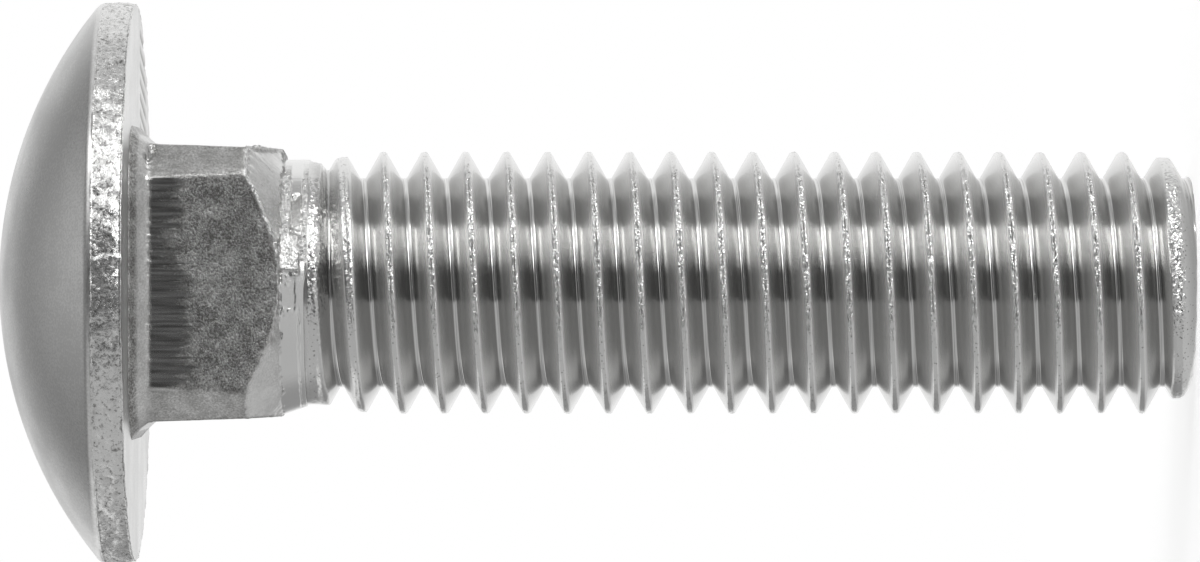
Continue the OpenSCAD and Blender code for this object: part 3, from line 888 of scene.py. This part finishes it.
class AddThread(bpy.types.Operator):
    """Add the rolled thread with its run-out, its fissured crests and its bevelled point"""

    bl_idname = "bolt.add_thread"
    bl_label = "Add Thread"

    def execute(self, context):
        sizes = context.scene.bolt_thread
        steel = rolled_thread_steel(context.scene.bolt_steel)
        values = {entry.name: getattr(sizes, entry.identifier) for entry in own_settings(sizes)}
        turns = math.floor(sizes.top / sizes.pitch) + 2 * SPARE_TURNS
        # As many steps and rows as keep the piece under 200,000 triangles
        values.update({"Steps": 160, "Rows a Turn": 24, "Turns": turns, "Steel": steel})
        mesh = grown(thread_tree(sizes), "thread", values)
        finish_piece(mesh, "bolt_thread", [steel])
        return {"FINISHED"}


# A light ring hangs round the bolt. Its brightness changes with the angle from the viewer, in
# degrees: a dark cloth at the viewer's side with a soft box beside it, grey cards next to them,
# and white behind. Where 1 is white, each pair is an angle and a brightness.
RING = [
    (-180, 1.0), (-165, 1.0), (-152, 0.32), (-115, 0.33), (-95, 0.52), (-60, 0.5), (-22, 0.49),
    (-19, 0.115), (17, 0.115), (31, 0.6), (42, 1.2), (61, 1.2), (72, 0.54), (82, 0.45), (104, 0.45),
    (120, 0.98), (180, 1.0),
]
# The colour ramp that holds the ring's brightness is kept under 1, and is scaled up after it.
RING_SCALE = 3.0
# Brightness of the grey cards: overhead and its soft patch, underneath, and the ring below the
# cloth and far below the bolt
OVERHEAD = 0.22
OVERHEAD_PATCH = 0.5
UNDERNEATH = 0.58
BELOW_CLOTH = 0.5
FAR_BELOW = 0.62
# What the white board gives off to the viewer, on top of the light that it returns
BOARD_LIFT = 0.62
# Corners of the round floor, cards and ring
SIDES = 96


def new_glow(name, strength=1.0):
    """A new material that only gives off light, with its tree and its light."""
    material = bpy.data.materials.new(name)
    material.use_nodes = True
    tree = material.node_tree
    tree.nodes.clear()
    light = add(tree, "Emission", {"Strength": strength})
    add(tree, "OutputMaterial", {"Surface": light}, name="Output")
    return material, tree, light


def stage_object(name, points, faces, material):
    """A stage object from points and faces, kept out of the part."""
    mesh = bpy.data.meshes.new(name)
    mesh.from_pydata(points, [], faces)
    mesh.materials.append(material)
    thing = bpy.data.objects.new(name, mesh)
    bpy.context.scene.collection.objects.link(thing)
    return thing


def ring_material(settings):
    """The light ring's glow, read from the angle round the bolt and the height."""
    material, tree, light = new_glow("light_ring")
    place = add(tree, "TexCoord").outputs["Object"]
    axes = add(tree, "SeparateXYZ", [place]).outputs
    away = add(tree, "Math", [axes["Y"], -1.0], operation="MULTIPLY")
    angle = add(tree, "Math", [axes["X"], away], operation="ARCTAN2")
    part = add(tree, "MapRange", [angle, -math.pi, math.pi])
    levels = add(tree, "ValToRGB", [part])
    stops = levels.color_ramp.elements
    for degrees, bright in RING[1:-1]:
        stops.new((degrees + 180) / 360).color = [bright / RING_SCALE] * 3 + [1.0]
    stops[0].color = stops[len(stops) - 1].color = [RING[0][1] / RING_SCALE] * 3 + [1.0]
    around_it = add(tree, "Math", [levels, RING_SCALE], operation="MULTIPLY")
    # The dark cloth ends a little below the bolt, and a grey card hangs under it.
    low = add(tree, "MapRange", [axes["Z"], -40 * MM, -90 * MM, 0.0, BELOW_CLOTH])
    around_it = add(tree, "Math", [around_it, low], operation="MAXIMUM")
    # The white at the back fades upwards, to the grey of the card overhead.
    fading = add(tree, "MapRange", [axes["Z"], 80 * MM, settings.screen_top, 1.0, OVERHEAD],
                 interpolation_type="SMOOTHSTEP")
    high = add(tree, "MapRange", [axes["Z"], 70 * MM, 110 * MM])
    back = add(tree, "MapRange", [axes["Y"], -50 * MM, 50 * MM])
    high = add(tree, "Math", [high, back], operation="MULTIPLY")
    strength = add(tree, "Mix", {0: high, 2: around_it, 3: fading}, data_type="FLOAT")
    # Far below the bolt the ring is an even light grey.
    deep = add(tree, "MapRange", [axes["Z"], -110 * MM, -180 * MM])
    strength = add(tree, "Mix", {0: deep, 2: strength, 3: FAR_BELOW}, data_type="FLOAT")
    # Two strip lights, one far below the bolt and one far above it, make torn and pitted steel
    # sparkle. They reach from 22 to 71 degrees from the viewer, and fade slowly at the inner end.
    lean = -settings.strip_lean / (100 * MM)
    leaning = add(tree, "Math", [axes["Z"], lean, angle], operation="MULTIPLY_ADD")
    inner = add(tree, "MapRange", [leaning, math.radians(22), math.radians(41)])
    outer = add(tree, "MapRange", [angle, math.radians(71), math.radians(62)])
    between = add(tree, "Math", [inner, outer], operation="MULTIPLY")
    half = settings.strip_height / 2
    for middle, glows in ((-settings.low_drop, settings.low_glow),
                          (settings.high_rise, settings.high_glow)):
        off = add(tree, "Math", [axes["Z"], middle], operation="SUBTRACT")
        off = add(tree, "Math", [off], operation="ABSOLUTE")
        lit = add(tree, "MapRange", [off, half + 8 * MM, half - 8 * MM])
        lit = add(tree, "Math", [lit, between], operation="MULTIPLY")
        strength = add(tree, "Mix", {0: lit, 2: strength, 3: glows}, data_type="FLOAT")
    feed(tree, light, {"Strength": strength})
    return material


def card_material(settings):
    """The grey card overhead, with a soft bright patch over the bolt's head."""
    material, tree, light = new_glow("overhead_card")
    place = add(tree, "TexCoord").outputs["Object"]
    centre = (30 * MM, 70 * MM, settings.screen_top)
    off = add(tree, "VectorMath", [place, centre], operation="DISTANCE")
    strength = add(tree, "MapRange", [off.outputs["Value"], 20 * MM, 200 * MM, OVERHEAD_PATCH,
                                      OVERHEAD], interpolation_type="SMOOTHSTEP")
    feed(tree, light, {"Strength": strength})
    return material


def floor_material():
    """Matt white board: it keeps a soft shadow, and reads as white as the backdrop."""
    material, tree, light = new_glow("white_board")
    seen = add(tree, "LightPath").outputs["Is Camera Ray"]
    lift = add(tree, "Math", [seen, BOARD_LIFT], operation="MULTIPLY")
    feed(tree, light, {"Strength": lift})
    board = add(tree, "BsdfDiffuse", {"Color": linear("E1E1E1")})
    both = add(tree, "AddShader", [board, light])
    feed(tree, tree.nodes["Output"], {"Surface": both})
    return material


def light_world():
    """An even world: white where it is seen or mirrored, and a little dimmer as a light."""
    world = bpy.data.worlds.new("studio")
    world.use_nodes = True
    tree = world.node_tree
    tree.nodes.clear()
    seen = add(tree, "LightPath").outputs
    mirror = add(tree, "Math", [seen["Is Glossy Ray"], seen["Is Transmission Ray"]], operation="MAXIMUM")
    direct = add(tree, "Math", [seen["Is Camera Ray"], mirror], operation="MAXIMUM")
    strength = add(tree, "MapRange", [direct, 0.0, 1.0, 0.8, 1.0])
    light = add(tree, "Background", {"Color": linear("FFFFFF"), "Strength": strength})
    add(tree, "OutputWorld", {"Surface": light})
    return world


class AddStage(bpy.types.Operator):
    """Add the floor, the light screens, the world and the camera"""

    bl_idname = "bolt.add_stage"
    bl_label = "Add Stage"

    def execute(self, context):
        scene = context.scene
        settings = scene.bolt_stage
        scene.world = light_world()
        scene.view_settings.view_transform = "Standard"
        turns = np.linspace(0.0, 2 * math.pi, SIDES, endpoint=False)
        rounds = [(math.cos(a), math.sin(a)) for a in turns]
        disc = [tuple(range(SIDES))]
        wide = settings.floor_radius
        floor = stage_object("floor", [(wide * x, wide * y, 0.0) for x, y in rounds], disc, floor_material())
        # The bolt mirrors the cards and screens beyond the floor, and not the floor itself.
        floor.visible_glossy = False
        wide, foot, top = settings.card_radius, -settings.screen_foot, settings.screen_top
        overhead = stage_object("overhead_card", [(wide * x, -wide * y, top) for x, y in rounds],
                                disc, card_material(settings))
        underneath = stage_object("underneath_card", [(wide * x, wide * y, foot) for x, y in rounds],
                                  disc, new_glow("underneath_card", UNDERNEATH)[0])
        wide = settings.screen_radius
        ring = [(wide * x, wide * y, z) for z in (foot, top) for x, y in rounds]
        faces = [((i + 1) % SIDES, i, i + SIDES, (i + 1) % SIDES + SIDES) for i in range(SIDES)]
        light_ring = stage_object("light_ring", ring, faces, ring_material(settings))
        for screen in (overhead, underneath, light_ring):
            screen.visible_camera = False

        lens = bpy.data.cameras.new("camera")
        lens.sensor_width = 36.0
        lens.lens = lens.sensor_width * settings.distance / settings.view_length
        camera = bpy.data.objects.new("camera", lens)
        # The view is turned a quarter, so that the bolt lies across it with its head to the left.
        turned = Matrix(((0, 1, 0), (0, 0, -1), (-1, 0, 0))).to_4x4()
        place = Vector((settings.aim_side, -settings.distance, settings.aim_height))
        camera.matrix_world = Matrix.Translation(place) @ turned
        lens.clip_start = 0.01
        lens.clip_end = 10.0
        scene.collection.objects.link(camera)
        scene.camera = camera
        return {"FINISHED"}


class BoltPanel(bpy.types.Panel):
    """The bolt's settings, and a button for each of its parts"""

    bl_label = "Carriage Bolt"
    bl_idname = "VIEW3D_PT_carriage_bolt"
    bl_space_type = "VIEW_3D"
    bl_region_type = "UI"
    bl_category = "Bolt"

    def draw(self, context):
        for title, group, operator in PARTS:
            box = self.layout.box()
            box.label(text=title)
            settings = getattr(context.scene, group)
            for entry in own_settings(settings):
                box.prop(settings, entry.identifier)
            if operator:
                box.operator(operator)


PARTS = [
    ("Steel", "bolt_steel", None),
    ("Head", "bolt_head", AddHead.bl_idname),
    ("Neck", "bolt_neck", AddNeck.bl_idname),
    ("Thread", "bolt_thread", AddThread.bl_idname),
    ("Stage", "bolt_stage", AddStage.bl_idname),
]
GROUPS = {
    "bolt_steel": SteelFinish,
    "bolt_head": HeadSizes,
    "bolt_neck": NeckSizes,
    "bolt_thread": ThreadSizes,
    "bolt_stage": StageSettings,
}
CLASSES = [*GROUPS.values(), AddHead, AddNeck, AddThread, AddStage, BoltPanel]


def register():
    for kind in CLASSES:
        bpy.utils.register_class(kind)
    for name, kind in GROUPS.items():
        setattr(bpy.types.Scene, name, bpy.props.PointerProperty(type=kind))


def unregister():
    for name in GROUPS:
        delattr(bpy.types.Scene, name)
    for kind in reversed(CLASSES):
        bpy.utils.unregister_class(kind)


def main():
    register()
    bpy.ops.bolt.add_head()
    bpy.ops.bolt.add_neck()
    bpy.ops.bolt.add_thread()
    bpy.ops.bolt.add_stage()


if __name__ == "__main__":
    main()
